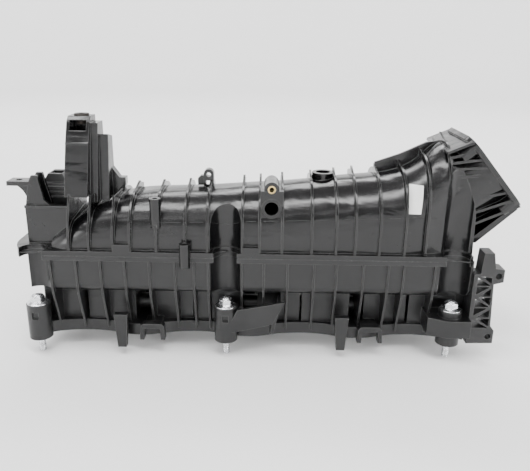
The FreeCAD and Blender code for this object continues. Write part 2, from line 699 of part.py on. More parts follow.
def flange_bosses():
    parts = []
    for name, x, y in bolt_places():
        way = "-" if y.startswith("-") else ""
        reach = (f"{y}", f"{way}flange_waist + 4") if way else (f"{way}flange_waist - 4", f"{y}")
        parts.append(rod("boss" + name, "boss_across / 2", "boss_top", x, y, "0"))
        if name != "Right":
            parts.append(block("bossWeb" + name, across(x, "5"), reach, ("0", "boss_top - 3")))
    ledge = [("148", "-20"), ("148", "-41"), ("162", "-48"), ("flange_right", "-48"), ("flange_right", "-20")]
    parts.append(slab("ledge", "XY", ledge, "flange_thick", "15"))
    return parts


def cable_bridge(index, x):
    """A cable bridge on the front edge: the cable lies in its arch."""
    arch = [(f"{x} - 10.5", "-1"), (f"{x} - 7", "-1"), (f"{x} - 6.5", "9"), (f"{x} + 6.5", "9"),
            (f"{x} + 7", "-1"), (f"{x} + 10.5", "-1"), (f"{x} + 10", "11"), (f"{x} + 7.5", "13.5"),
            (f"{x} - 7.5", "13.5"), (f"{x} - 10", "11")]
    return slab(f"cable_bridge_{index}", "XZ", arch, "-38", "6.8")


def flange_fittings():
    """Cable fingers on the front edge, the arms of the bridges, and the long gusset beside the middle bolt."""
    parts = []
    for index, x in enumerate(("-105", "77.5")):
        finger = [(f"{x} - 5.7", "23"), (f"{x} - 3.5", "-6.5"), (f"{x} + 3.5", "-6.5"), (f"{x} + 5.7", "23")]
        parts.append(slab(f"finger{index}", "XZ", finger, "-41", "6"))
        parts.append(block(f"fingerArm{index}", across(x, "3"), ("-36", "-18"), ("2", "12")))
    for index, x in enumerate(BRIDGES):
        parts.append(block(f"bridgeArm{index}", across(x, "7"), ("-31.2", "-18"), ("9.2", "12")))
    gusset = [("-bolt_mid", "8"), ("20", "17"), ("30", "37"), ("-9", "29.5")]
    parts.append(slab("gusset", "XZ", gusset, "-bolt_row_front - 8", "3"))
    parts.append(slab("gussetRib", "XZ", [("18", "8"), ("21", "8"), ("27", "36"), ("24", "36")],
                      "-bolt_row_front - 7", "bolt_row_front - 10"))
    return parts


def port_flange():
    solids = [slab("flangePlate", "XY", scalloped(), "0", "flange_thick"),
              block("flangeTop", ("-flange_left", "flange_right"), across("0", "port_deep / 2 + 7"),
                    ("tub_floor - wall", "tub_floor"))]
    solids.append(block("bracketPad", ("flange_right - 7", "flange_right"), ("-22", "-12"), ("8", "tub_floor")))
    passages = []
    pockets = []
    for index, (x, flap) in enumerate(port_centres()):
        extra = "frame_wall + frame_fit" if flap else "0"
        half = f"port_wide / 2 + runner_wall + {extra}"
        deep = f"port_deep / 2 + runner_wall + {extra}"
        solids.append(block(f"runner{index}", across(x, half), across("0", deep), ("2", "tub_floor")))
        passages.append(block(f"passage{index}", across(x, "port_wide / 2"), across("0", "port_deep / 2"),
                              ("-1", "tub_floor + 1")))
        if flap:
            pockets.append(block(f"pocket{index}", across(x, f"port_wide / 2 + {extra}"),
                                 across("0", f"port_deep / 2 + {extra}"), ("-1", "frame_top")))
    for index, x in enumerate(LOWER_RIBS):
        rib = [("-flange_waist - 2", "4"), ("flange_waist + 2", "4"), ("plenum_rear - 7.5", "tub_floor"),
               ("-plenum_front - 1", "tub_floor")]
        solids.append(slab(f"flangeRib{index}", "YZ", rib, f"{x} - rib_thick / 2", "rib_thick"))
    room = tool_rods("flangeRoom", "tool_room", "boss_top")
    walls = cut("flangeWalls", joined("flangeSolids", solids + flange_fittings()), room)
    body = joined("flangeBody", [walls] + flange_bosses())
    tunnel = rod("tunnel", "shaft_across / 2 + 4", "flange_left + flange_right", "-flange_left", "0", "shaft_level",
                 ALONG_X)
    ends = [rod("tunnelEnd" + n, "bush_across / 2 + 4", "16", x, "0", "shaft_level", ALONG_X)
            for n, x in (("Left", "-flange_left"), ("Right", "flange_right - 16"))]
    tunnel_open = cut("tunnelOpen", joined("tunnelSolid", [tunnel] + ends), pockets)
    open_body = cut("flangePocketed", cut("flangeOpen", body, passages), pockets)
    whole = joined("flangeWhole", [open_body, tunnel_open])
    return cut("port_flange", whole, flange_cuts())


def flange_cuts():
    """The shaft's bore and its seats, the sleeve holes, the gasket grooves and the bosses' windows."""
    long = "flange_left + flange_right + 5"
    cuts = [
        rod("shaftWay", "shaft_across / 2 + shaft_room", long, "-flange_left - 4", "0", "shaft_level", ALONG_X),
        rod("seatLeft", "bush_across / 2", "bush_long + 8", "-flange_left - 4", "0", "shaft_level", ALONG_X),
        rod("seatRight", "bush_across / 2", "bush_short + 5", "flange_right - bush_short - 4", "0", "shaft_level",
            ALONG_X),
        rod("screwSeatLow", "2.4", "2.6", "flange_right - 2.6", "-17", "32", ALONG_X),
    ]
    for name, x, y in bolt_places():
        cuts.append(rod("sleeveHole" + name, "sleeve_bore / 2 + sleeve_wall", "boss_top + 2", x, y, "-1"))
        if name in ("Left", "Mid"):
            cuts.append(block("window" + name, across(x, "2.6"), (f"{y} - boss_across", f"{y} - 7.2"), ("19", "25")))
    for index, centre in enumerate(cylinder_centres()):
        outer = slab(f"grooveOuter{index}", "XY", moved(gasket_oblong("gasket_wide"), centre, "0"), "-1",
                     "gasket_groove + 1")
        inner = slab(f"grooveInner{index}", "XY", moved(gasket_oblong("0"), centre, "0"), "-2", "gasket_groove + 4")
        cuts.append(cut(f"groove{index}", outer, [inner]))
    return cuts


def gasket_oblong(more):
    """The gasket's line round a cylinder's two ports, widened by an expression."""
    extra = f"frame_wall + frame_fit + 1.5 + {more}"
    return oblong(f"port_offset + port_wide / 2 + {extra}", f"port_deep / 2 + {extra}", f"4 + {more}")


def port_gasket(index, centre):
    body = padded(f"port_gasket_{index}", "XY_Plane", gasket_oblong("gasket_wide - 0.1"),
                  "gasket_groove + gasket_proud")
    pocketed(body, f"gasketHole{index}", "XY_Plane", gasket_oblong("0.1"), "20")
    return place(body, centre, "0", "-gasket_proud")


def flap_frame(index, x):
    half = "port_wide / 2 + frame_wall"
    body = padded(f"flap_frame_{index}", "XY_Plane", oblong(half, "port_deep / 2 + frame_wall", "1"),
                  "frame_top - 0.4")
    pocketed(body, f"framePassage{index}", "XY_Plane", oblong("port_wide / 2", "port_deep / 2", "2"), "100")
    sketch = body.newObject("Sketcher::SketchObject", f"frameBore{index}")
    sketch.AttachmentSupport = (origin_plane(body, "YZ_Plane"), [""])
    sketch.MapMode = "FlatFace"
    doc.recompute()
    level = number("shaft_level - 0.4")
    sketch.addGeometry(Part.Circle(FreeCAD.Vector(0, level, 0), UP, number("shaft_across / 2 + shaft_room")))
    for kind, text in (("DistanceX", "0"), ("DistanceY", "shaft_level - 0.4")):
        at = sketch.addConstraint(Sketcher.Constraint(kind, -1, 1, 0, 3, number(text)))
        sketch.setExpression(f"Constraints[{at}]", in_sheet(text))
    at = sketch.addConstraint(Sketcher.Constraint("Radius", 0, number("shaft_across / 2 + shaft_room")))
    sketch.setExpression(f"Constraints[{at}]", in_sheet("shaft_across / 2 + shaft_room"))
    pocket = body.newObject("PartDesign::Pocket", f"frameBoreCut{index}")
    pocket.Profile = sketch
    pocket.Midplane = True
    bind(pocket, "Length", "port_wide + 4 * frame_wall")
    doc.recompute()
    return place(body, x, "0", "0.4")


def swirl_flap(index, x):
    """A flap plate on its hub, open at rest: the plate stands along the flow."""
    half = "port_wide / 2 - flap_gap"
    plate = block(f"flapPlate{index}", across(x, half), across("0", "flap_thick / 2"),
                  ("shaft_level - port_deep / 2 + flap_gap", "shaft_level + port_deep / 2 - flap_gap"))
    trimmed = doc.addObject("Part::Fillet", f"flapCorners{index}")
    doc.recompute()
    trimmed.Base = plate
    corners = [(n, 2.4, 2.4) for n, e in enumerate(plate.Shape.Edges, start=1)
               if abs(e.tangentAt(e.FirstParameter).y) > 0.9]
    trimmed.Edges = corners
    hub = rod(f"flapHub{index}", "flap_hub / 2", f"2 * ({half})", f"{x} - ({half})", "0", "shaft_level", ALONG_X)
    bore = rod(f"flapBore{index}", "shaft_across / 2", "port_wide + 4", f"{x} - port_wide / 2 - 2", "0",
               "shaft_level", ALONG_X)
    return cut(f"swirl_flap_{index}", joined(f"flapSolid{index}", [trimmed, hub]), [bore])


def along_shaft(body, x):
    """Turns a body made about its own z axis onto the shaft's axis, its own z = 0 at x."""
    return place(body, x, "0", "shaft_level", ALONG_X)


def shaft_pieces():
    core = "shaft_across / 2"
    shaft = along_shaft(turned("flap_shaft", [
        ("0", "0"), (f"{core} - 0.5", "0"), (core, "0.5"), (core, "shaft_left + shaft_right - 0.5"),
        (f"{core} - 0.5", "shaft_left + shaft_right"), ("0", "shaft_left + shaft_right")]), "-shaft_left")
    bushes = []
    for name, x, long in (("left", "-flange_left + 4", "bush_long"),
                          ("right", "flange_right - bush_short - 4", "bush_short")):
        bush = ring(f"shaft_bush_{name}", f"{core} + shaft_play", "bush_across / 2", "0", long)
        bushes.append(along_shaft(bush, x))
    plug = along_shaft(turned("shaft_end_plug", [
        ("0", "-2"), ("bush_across / 2 + 1.5", "-2"), ("bush_across / 2 + 1.5", "0"), ("bush_across / 2", "0"),
        ("bush_across / 2", "4"), ("bush_across / 2 - 1.5", "4"), ("bush_across / 2 - 1.5", "0.5"), ("0", "0.5")]),
        "-flange_left - 2.5")
    seal = along_shaft(ring("shaft_seal", f"{core} + shaft_play", "bush_across / 2", "0", "3.4"), "flange_right - 4")
    clip = along_shaft(ring("lever_clip", core, f"{core} + 2", "0", "1"), "flange_right + lever_thick + 2")
    return [shaft] + bushes + [plug, seal, clip]


def lever_pieces():
    hub = rod("leverHub", "6.5", "lever_thick + 1", "flange_right + 1", "0", "shaft_level", ALONG_X)
    arm = slab("leverArm", "YZ", [("-5", "shaft_level"), ("5", "shaft_level"),
               ("4", "shaft_level + lever_arm", ("0", "shaft_level + lever_arm + 4")),
               ("-4", "shaft_level + lever_arm")],
               "flange_right + 1.5", "lever_thick")
    holes = [rod("leverBore", "shaft_across / 2", "20", "flange_right - 5", "0", "shaft_level", ALONG_X),
             rod("leverStudHole", "2.5", "20", "flange_right - 5", "0", "shaft_level + lever_arm", ALONG_X)]
    lever = cut("flap_lever", joined("leverSolid", [hub, arm]), holes)
    ball = "(lever_thick + 6.6)"
    stud = turned("lever_ball_stud", [
        ("0", "-0.5"), ("2.5", "-0.5"), ("2.5", "lever_thick"), ("3.8", "lever_thick"), ("3.8", "lever_thick + 1.2"),
        ("2.2", "lever_thick + 1.2"),
        ("2.2", f"{ball} - sqrt(ball_across ^ 2 / 4 - 2.2 ^ 2)", ("ball_across / 2", ball)),
        ("0", f"{ball} + ball_across / 2")])
    place(stud, "flange_right + 1.5", "0", "shaft_level + lever_arm", ALONG_X)
    return [lever, stud]


def bolt(name, x, y):
    body = turned("bolt" + name, [
        ("0", "-boss_top - bolt_reach"), ("bolt_shank / 2 - 0.8", "-boss_top - bolt_reach"),
        ("bolt_shank / 2", "-boss_top - bolt_reach + 0.8"), ("bolt_shank / 2", "-boss_top"),
        ("bolt_waist / 2", "-boss_top"), ("bolt_waist / 2", "0"), ("bolt_flange / 2", "0"),
        ("bolt_flange / 2", "bolt_flange_thick"), ("bolt_flats / 2 - 0.6", "bolt_flange_thick + 1"),
        ("bolt_flats / 2 - 0.6", "bolt_head - 1.4", ("bolt_flats / 2 - 1.6", "bolt_head - 0.5")), ("0", "bolt_head")])
    flat, corner = "bolt_flats / 2", "bolt_flats / sqrt(3)"
    hexagon = [(corner, "0"), (f"{corner} / 2", flat), (f"-{corner} / 2", flat), (f"-{corner}", "0"),
               (f"-{corner} / 2", f"-{flat}"), (f"{corner} / 2", f"-{flat}")]
    sketch = body_sketch(body, "hexagon" + name, "XY_Plane", hexagon)
    pad = body.newObject("PartDesign::Pad", "hexagonPad" + name)
    pad.Profile = sketch
    bind(pad, "Length", "bolt_head - 1.4")
    doc.recompute()
    return place(body, x, y, "boss_top")


def bolt_pieces():
    places = bolt_places()
    front = group("front_bolts", [bolt(*where) for where in places[:3]])
    rear = group("rear_bolts", [bolt(*where) for where in places[3:]])
    sleeves = []
    retainers = []
    for name, x, y in places:
        sleeve = ring("sleeve" + name, "sleeve_bore / 2", "sleeve_bore / 2 + sleeve_wall", "0", "boss_top")
        sleeves.append(place(sleeve, x, y, "0"))
        retainer = ring("retainer" + name, "bolt_waist / 2", "sleeve_bore / 2", "0", "3")
        retainers.append(place(retainer, x, y, "4"))
    return [front, rear, group("compression_sleeves", sleeves), group("bolt_retainers", retainers)]


def throttle_pieces():
    inserts = []
    for name, x, y in throttle_screws():
        insert = ring("insert" + name, "insert_thread / 2", "insert_across / 2", "-insert_long", "0")
        inserts.append(on_throttle(insert, x, y))
    gasket = ring("throttle_gasket", "throttle_bore / 2 + 1.8", "throttle_bore / 2 + 4", "-2", "0.5")
    return [group("throttle_inserts", inserts), on_throttle(gasket)]


def actuator_bracket():
    """A truss beside the right end: lugs in front carry the flap actuator, a foot behind holds it to the shell."""
    face = "-truss_front"
    left = "flange_right"
    frame = [(left, "1.5"), (f"{left} + 22", "2"), (f"{left} + 22", "13.5"), (f"{left} + 18.5", "18"),
             (f"{left} + 16.5", "55"), (f"{left} + 24", "57"), (f"{left} + 24", "67.5"), (f"{left} + 16.5", "68.5"),
             (f"{left} + 14", "81.5"), (f"{left} + 6", "81.5"), (f"{left} + 5", "64"), (left, "63")]
    solids = [slab("trussPlate", "XZ", frame, face, "truss_thick"),
              block("trussFoot", (left, f"{left} + 3"), ("-34", "-12"), ("24", "64"))]
    windows = []
    for index in range(5):
        low = 15 + 9.4 * index
        right = f"{left} + {16.6 - 0.5 * index:.1f}"
        if index % 2 == 0:
            corners = [(f"{left} + 3.2", f"{low + 1}"), (right, f"{low + 1}"), (f"{left} + 3.2", f"{low + 8}")]
            other = [(right, f"{low + 2.6}"), (right, f"{low + 9.4}"), (f"{left} + 5.5", f"{low + 9.4}")]
        else:
            corners = [(f"{left} + 5.5", f"{low + 1}"), (right, f"{low + 1}"), (right, f"{low + 8}")]
            other = [(f"{left} + 3.2", f"{low + 2.6}"), (f"{left} + 14", f"{low + 9.4}"),
                     (f"{left} + 3.2", f"{low + 9.4}")]
        if index == 4:
            other = other[:1] + [(right, f"{low + 8}")] + other[2:]
        windows.append(slab(f"trussWindow{index}", "XZ", corners, f"{face} - 1", "truss_thick + 2"))
        windows.append(slab(f"trussGap{index}", "XZ", other, f"{face} - 1", "truss_thick + 2"))
    holes = [rod("lugHigh", "2.6", "truss_thick + 2", f"{left} + 19.8", f"{face} - 1", "62", ALONG_Y),
             rod("lugLow", "2.6", "truss_thick + 2", f"{left} + 17.5", f"{face} - 1", "8", ALONG_Y)]
    holes += [rod(f"footHole{z}", "2.75", "8", f"{left} - 2", "-17", z, ALONG_X) for z in ("32", "57")]
    return cut("actuator_bracket", joined("trussSolid", solids), windows + holes)


def bracket_screws():
    screws = []
    for index, level in enumerate(("32", "57")):
        screw = turned(f"bracketScrew{index}", [
            ("0", "-2.6"), ("2.4", "-2.6"), ("2.4", "3"), ("4.3", "3"), ("4.3", "5.2"),
            ("3", "6.4"), ("0", "6.4")])
        screws.append(place(screw, "flange_right", "-17", level, ALONG_X))
    return group("bracket_screws", screws)


def small_pieces():
    bush = turned("cover_bush", [
        ("2.5", "-7"), ("4.5", "-7"), ("4.5", "0"), ("6", "0"), ("6", "1.4"), ("2.5", "1.4")])
    place(bush, "-138.5", "8", "tower_top")
    insert = ring("sensor_insert", "2", "3.2", "0", "8")
    place(insert, "17.8", "-30", "128", ALONG_Y)
    holder = plug_holder()
    return [bush, insert, holder]


def plug_holder():
    """The wiring plug's holder: a ribbed socket that stands in the left tray, against its rear wall."""
    solids = [block("holderBody", ("-176", "-152"), ("-3", "26"), ("100", "124")),
              slab("holderHood", "XZ", [("-174", "123"), ("-154", "123"), ("-157", "131"), ("-169", "131")], "2", "18")]
    for index in range(3):
        level = 112 + 4 * index
        solids.append(block(f"holderRib{index}", ("-177.5", "-150.5"), ("-4.5", "27.5"), (str(level), str(level + 1.6))))
    hollow = [block("holderSocket", ("-173.5", "-154.5"), ("-0.5", "23.5"), ("103", "121"))]
    mouth = [block("holderMouth", ("-168", "-158"), ("5", "15"), ("118", "135"))]
    return cut("wiring_plug_holder", joined("holderSolid", solids), hollow + mouth)


def collect():
    """Every sub-part. The small turned and padded bodies come first, because making one recomputes the document."""
    pieces = shaft_pieces() + bolt_pieces() + throttle_pieces() + small_pieces() + [bracket_screws()]
    flap_ports = [x for x, flap in port_centres() if flap]
    for index, x in enumerate(flap_ports, start=1):
        pieces += [flap_frame(index, x), swirl_flap(index, x)]
    for index, centre in enumerate(cylinder_centres(), start=1):
        pieces.append(port_gasket(index, centre))
    pieces += [cable_bridge(index, x) for index, x in enumerate(BRIDGES, start=1)]
    return pieces + lever_pieces() + [actuator_bracket(), lower_shell(), port_flange(), upper_shell()]


def check(pieces):
    for thing in doc.Objects:
        if {"Invalid", "Error"} & set(thing.State):
            raise RuntimeError(f"{thing.Name} did not compute: {thing.State}")
    for piece in pieces:
        if piece.Shape.isNull() or not piece.Shape.isValid():
            raise RuntimeError(f"{piece.Label} has no valid shape")


def write(pieces):
    os.makedirs("parts", exist_ok=True)
    for piece in pieces:
        piece.Shape.exportStep(f"parts/{piece.Label}.step")
        box = piece.Shape.BoundBox
        print(f"{piece.Label}: {len(piece.Shape.Solids)} solids, {box.XLength:.1f} x {box.YLength:.1f}"
              f" x {box.ZLength:.1f}, {piece.Shape.Volume:.0f} mm3")


fill_sheet()
PIECES = collect()
doc.recompute()
for piece in PIECES:
    piece.Label = piece.Name
check(PIECES)
write(PIECES)
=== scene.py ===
# Intake manifold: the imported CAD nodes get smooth-shaded plastic with rounded edges, and the bolts, threads,
# weld flash, parting lines and label are built on top of them.
import bpy
import bmesh
import json
import math
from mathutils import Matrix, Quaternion, Vector
from mathutils.bvhtree import BVHTree


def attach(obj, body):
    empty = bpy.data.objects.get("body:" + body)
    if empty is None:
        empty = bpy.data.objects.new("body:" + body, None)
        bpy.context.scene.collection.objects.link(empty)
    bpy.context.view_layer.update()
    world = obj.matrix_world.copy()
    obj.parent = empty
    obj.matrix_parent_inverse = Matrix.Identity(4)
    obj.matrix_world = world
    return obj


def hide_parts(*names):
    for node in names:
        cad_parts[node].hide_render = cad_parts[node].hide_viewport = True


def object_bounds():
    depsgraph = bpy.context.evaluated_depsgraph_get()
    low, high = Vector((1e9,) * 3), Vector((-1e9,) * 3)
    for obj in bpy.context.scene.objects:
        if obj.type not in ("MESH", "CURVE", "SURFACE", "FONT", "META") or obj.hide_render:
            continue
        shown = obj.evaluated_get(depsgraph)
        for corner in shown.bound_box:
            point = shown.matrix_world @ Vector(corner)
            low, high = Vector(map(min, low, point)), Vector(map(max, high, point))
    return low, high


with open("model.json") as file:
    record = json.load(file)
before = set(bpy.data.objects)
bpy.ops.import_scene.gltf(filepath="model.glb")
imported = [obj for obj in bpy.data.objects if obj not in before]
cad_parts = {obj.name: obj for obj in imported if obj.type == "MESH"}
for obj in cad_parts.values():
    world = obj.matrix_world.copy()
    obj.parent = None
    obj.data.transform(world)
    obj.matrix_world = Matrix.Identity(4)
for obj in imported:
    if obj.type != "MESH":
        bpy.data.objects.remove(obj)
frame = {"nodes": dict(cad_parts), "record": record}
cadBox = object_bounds()
nodes = frame["nodes"]
print("frame loaded:", len(nodes), "nodes")


def addNode(tree, kind, inputs=None, **props):
    made = tree.nodes.new(kind)
    for key, value in props.items():
        setattr(made, key, value)
    for key, value in (inputs or {}).items():
        made.inputs[key].default_value = value
    return made


def link(tree, source, target):
    tree.links.new(source, target)


def newPiece(name, mesh):
    piece = bpy.data.objects.new(name, mesh)
    bpy.context.scene.collection.objects.link(piece)
    return piece


def meshFromBmesh(name, bm):
    mesh = bpy.data.meshes.new(name)
    bm.to_mesh(mesh)
    bm.free()
    return mesh


def smoothAll(mesh):
    for face in mesh.polygons:
        face.use_smooth = True


def smoothByAngle(mesh, degrees):
    # smooth faces, with edges sharper than the angle kept crisp
    bm = bmesh.new()
    bm.from_mesh(mesh)
    limit = math.radians(degrees)
    for face in bm.faces:
        face.smooth = True
    for edge in bm.edges:
        edge.smooth = len(edge.link_faces) == 2 and edge.calc_face_angle(0.0) < limit
    bm.to_mesh(mesh)
    bm.free()


def frozen(piece):
    # the evaluated result as a plain mesh, without the modifiers
    bpy.context.view_layer.update()
    graph = bpy.context.evaluated_depsgraph_get()
    mesh = bpy.data.meshes.new_from_object(piece.evaluated_get(graph), depsgraph=graph)
    piece.modifiers.clear()
    old = piece.data
    if piece.type == "MESH":
        piece.data = mesh
        bpy.data.meshes.remove(old)
        return piece
    made = newPiece(piece.name + "Mesh", mesh)
    bpy.data.objects.remove(piece)
    return made


def finishPiece(piece, body):
    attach(piece, body)
    return piece


def objectCoords(tree, scale=(1, 1, 1)):
    coords = addNode(tree, "ShaderNodeTexCoord")
    mapping = addNode(tree, "ShaderNodeMapping", {"Scale": scale})
    link(tree, coords.outputs["Object"], mapping.inputs["Vector"])
    return mapping.outputs["Vector"]


def noise(tree, coords, scale, detail=3.0, rough=0.55, distortion=0.0):
    made = addNode(tree, "ShaderNodeTexNoise",
                   {"Scale": scale, "Detail": detail, "Roughness": rough, "Distortion": distortion})
    link(tree, coords, made.inputs["Vector"])
    return made.outputs["Fac"]


def mapRange(tree, value, low, high, toLow, toHigh):
    made = addNode(tree, "ShaderNodeMapRange",
                   {"From Min": low, "From Max": high, "To Min": toLow, "To Max": toHigh})
    link(tree, value, made.inputs["Value"])
    return made.outputs["Result"]


def mixColour(tree, share, first, second):
    made = addNode(tree, "ShaderNodeMix", data_type="RGBA")
    for socket, thing in ((0, share), (6, first), (7, second)):
        if isinstance(thing, bpy.types.NodeSocket):
            link(tree, thing, made.inputs[socket])
        else:
            made.inputs[socket].default_value = (*thing, 1) if isinstance(thing, tuple) else thing
    return made.outputs[2]


def bump(tree, height, strength, distance, normal=None):
    made = addNode(tree, "ShaderNodeBump", {"Strength": strength, "Distance": distance})
    link(tree, height, made.inputs["Height"])
    if normal is not None:
        link(tree, normal, made.inputs["Normal"])
    return made.outputs["Normal"]


# cosines of the turn at which an edge starts to show and shows in full
edgeSizes = {"flat": 0.995, "corner": 0.86, "samples": 6}


def roundedEdges(tree, radius):
    # the rounded normal, and how much of an edge each point is
    bevel = addNode(tree, "ShaderNodeBevel", {"Radius": radius}, samples=edgeSizes["samples"])
    geometry = addNode(tree, "ShaderNodeNewGeometry")
    dot = addNode(tree, "ShaderNodeVectorMath", operation="DOT_PRODUCT")
    link(tree, bevel.outputs["Normal"], dot.inputs[0])
    link(tree, geometry.outputs["Normal"], dot.inputs[1])
    edge = mapRange(tree, dot.outputs["Value"], edgeSizes["flat"], edgeSizes["corner"], 0, 1)
    return bevel.outputs["Normal"], edge


def startMaterial(name, **shader):
    material = bpy.data.materials.new(name)
    material.use_nodes = True
    tree = material.node_tree
    surface = tree.nodes["Principled BSDF"]
    for key, value in shader.items():
        surface.inputs[key.replace("_", " ")].default_value = value
    return material, tree, surface


mouldedGrain = {"sinkStretch": (1, 1.6, 2.2), "scratchStretch": (1, 9, 1), "scratchScale": 260,
                "sinkDeep": 0.004, "grainDeep": 0.0004}


def mouldedPlastic(name, look):
    # colour drift, fine grain, slow sink marks, scuffed roughness, and a painted highlight along rounded edges
    # broken up by scratch noise
    material, tree, surface = startMaterial(name, IOR=look["ior"], Specular_IOR_Level=look["specular"])
    coords = objectCoords(tree)
    drift = noise(tree, coords, look["driftScale"], 4, 0.6, 0.4)
    grain = noise(tree, coords, look["grainScale"], 2, 0.5)
    sink = noise(tree, objectCoords(tree, mouldedGrain["sinkStretch"]), look["sinkScale"], 2, 0.4, 0.6)
    scratched = objectCoords(tree, mouldedGrain["scratchStretch"])
    scratch = noise(tree, scratched, mouldedGrain["scratchScale"], 3, 0.7, 1.2)
    normal, edge = roundedEdges(tree, look["edgeRadius"])
    body = mixColour(tree, mapRange(tree, drift, 0.35, 0.68, 0, 1), look["dark"], look["light"])
    # painted highlight: rounded edges, broken up by scratch noise, mixed toward the lighter edge colour
    highlightMask = addNode(tree, "ShaderNodeMath", operation="MULTIPLY")
    link(tree, edge, highlightMask.inputs[0])
    link(tree, mapRange(tree, scratch, 0.32, 0.62, 0.35, 1), highlightMask.inputs[1])
    highlightShare = mapRange(tree, highlightMask.outputs["Value"], 0, 1, 0, look["edgeHighlightShare"])
    highlighted = mixColour(tree, highlightShare, body, look["edge"])
    link(tree, highlighted, surface.inputs["Base Color"])
    rough = addNode(tree, "ShaderNodeMath", operation="ADD")
    link(tree, mapRange(tree, drift, 0.3, 0.75, look["roughness"][0], look["roughness"][1]), rough.inputs[0])
    link(tree, mapRange(tree, scratch, 0.58, 0.75, 0, look["scuff"]), rough.inputs[1])
    link(tree, rough.outputs["Value"], surface.inputs["Roughness"])
    normal = bump(tree, sink, look["sink"], mouldedGrain["sinkDeep"], normal)
    normal = bump(tree, grain, look["grain"], mouldedGrain["grainDeep"], normal)
    link(tree, normal, surface.inputs["Normal"])
    return material


metalGrain = {"spotScale": 420, "fineScale": 2600, "fineDeep": 0.0002, "edgeRadius": 0.00025,
              "edgeShine": 0.5}


def plainMetal(name, look):
    material, tree, surface = startMaterial(name, Metallic=1.0)
    coords = objectCoords(tree)
    spots = noise(tree, coords, metalGrain["spotScale"], 4, 0.65, 0.3)
    fine = noise(tree, objectCoords(tree, look.get("stretch", (1, 1, 1))), metalGrain["fineScale"], 2, 0.5)
    normal, edge = roundedEdges(tree, metalGrain["edgeRadius"])
    body = mixColour(tree, mapRange(tree, spots, 0.4, 0.7, 0, 1), look["colour"], look["shade"])
    # painted highlight: rounded edges mixed toward the brighter edge colour
    shine = mapRange(tree, edge, 0, 1, 0, metalGrain["edgeShine"])
    link(tree, mixColour(tree, shine, body, look["edge"]), surface.inputs["Base Color"])
    link(tree, mapRange(tree, spots, 0.3, 0.75, look["roughness"][0], look["roughness"][1]),
         surface.inputs["Roughness"])
    link(tree, bump(tree, fine, look["bump"], metalGrain["fineDeep"], normal), surface.inputs["Normal"])
    return material


rubberGrain = {"bloomScale": 300, "poreDeep": 0.0003, "edgeRadius": 0.0003}


def softRubber(name, colour, scale):
    material, tree, surface = startMaterial(name, Specular_IOR_Level=0.35)
    coords = objectCoords(tree)
    bloom = noise(tree, coords, rubberGrain["bloomScale"], 4, 0.6)
    pores = noise(tree, coords, scale, 2, 0.5)
    pale = tuple(channel * 2.2 + 0.02 for channel in colour)
    cloud = mapRange(tree, bloom, 0.5, 0.75, 0, 0.6)
    link(tree, mixColour(tree, cloud, colour, pale), surface.inputs["Base Color"])
    link(tree, mapRange(tree, bloom, 0.3, 0.7, 0.55, 0.8), surface.inputs["Roughness"])
    normal = roundedEdges(tree, rubberGrain["edgeRadius"])[0]
    link(tree, bump(tree, pores, 0.25, rubberGrain["poreDeep"], normal), surface.inputs["Normal"])
    return material


# in these looks the edge colour and the share that follows it paint a highlight along rounded edges
glossLook = {"dark": (0.0018, 0.0018, 0.002), "light": (0.0045, 0.0045, 0.0048), "edge": (0.09, 0.09, 0.088),
             "edgeHighlightShare": 0.8, "edgeRadius": 0.0008, "roughness": (0.16, 0.27), "scuff": 0.12, "ior": 1.5,
             "specular": 0.5, "driftScale": 26, "grainScale": 2400, "grain": 0.05, "sinkScale": 26,
             "sink": 0.3}
satinLook = {"dark": (0.003, 0.003, 0.0032), "light": (0.009, 0.009, 0.0093), "edge": (0.1, 0.1, 0.098),
             "edgeHighlightShare": 0.75, "edgeRadius": 0.0008, "roughness": (0.27, 0.4), "scuff": 0.12, "ior": 1.5,
             "specular": 0.5, "driftScale": 30, "grainScale": 1800, "grain": 0.1, "sinkScale": 30,
             "sink": 0.2}
bracketLook = dict(satinLook, dark=(0.009, 0.009, 0.0093), light=(0.017, 0.017, 0.0173),
                   roughness=(0.36, 0.5))
flapLook = dict(satinLook, dark=(0.05, 0.045, 0.038), light=(0.085, 0.078, 0.066), roughness=(0.4, 0.55))
bushLook = dict(satinLook, dark=(0.5, 0.47, 0.38), light=(0.66, 0.62, 0.52), edge=(0.8, 0.78, 0.7),
                roughness=(0.35, 0.5), edgeHighlightShare=0.3)
# the metals' edge colour is a painted highlight along rounded edges
zincLook = {"colour": (0.86, 0.87, 0.88), "shade": (0.62, 0.63, 0.66), "edge": (0.95, 0.95, 0.96),
            "roughness": (0.16, 0.34), "bump": 0.12}
steelLook = {"colour": (0.56, 0.56, 0.57), "shade": (0.4, 0.4, 0.42), "edge": (0.75, 0.75, 0.76),
             "roughness": (0.26, 0.42), "bump": 0.18, "stretch": (1, 6, 6)}
brassLook = {"colour": (0.74, 0.56, 0.26), "shade": (0.55, 0.4, 0.17), "edge": (0.9, 0.75, 0.45),
             "roughness": (0.24, 0.4), "bump": 0.15}

finishes = {
    "shell_gloss": mouldedPlastic("glossyShell", glossLook),
    "shell_satin": mouldedPlastic("satinShell", satinLook),
    "bracket_satin": mouldedPlastic("satinBracket", bracketLook),
    "flap_plastic": mouldedPlastic("flapPlastic", flapLook),
    "bush_plastic": mouldedPlastic("bearingPlastic", bushLook),
    "zinc_bolt": plainMetal("brightZinc", zincLook),
    "steel_sleeve": plainMetal("rolledSteel", steelLook),
    "shaft_steel": plainMetal("groundSteel", dict(steelLook, roughness=(0.18, 0.3))),
    "brass_insert": plainMetal("insertBrass", brassLook),
    "seal_rubber": softRubber("sealRubber", (0.02, 0.015, 0.012), 2200),
}
print("materials ready")


slotOf = {row["node"]: row["material_slot"] for row in frame["record"]["subparts"]}
bodyOf = {name: body for body, names in frame["record"]["behaviour"]["bodies"].items() for name in names}
mouldedNodes = {  # angle above which an edge stays crisp
    "upper_shell": 26, "lower_shell": 30, "port_flange": 30, "actuator_bracket": 30, "wiring_plug_holder": 30,
    "cable_bridge_1": 30, "cable_bridge_2": 30, "cover_bush": 35, "flap_lever": 35, "lever_ball_stud": 35,
}


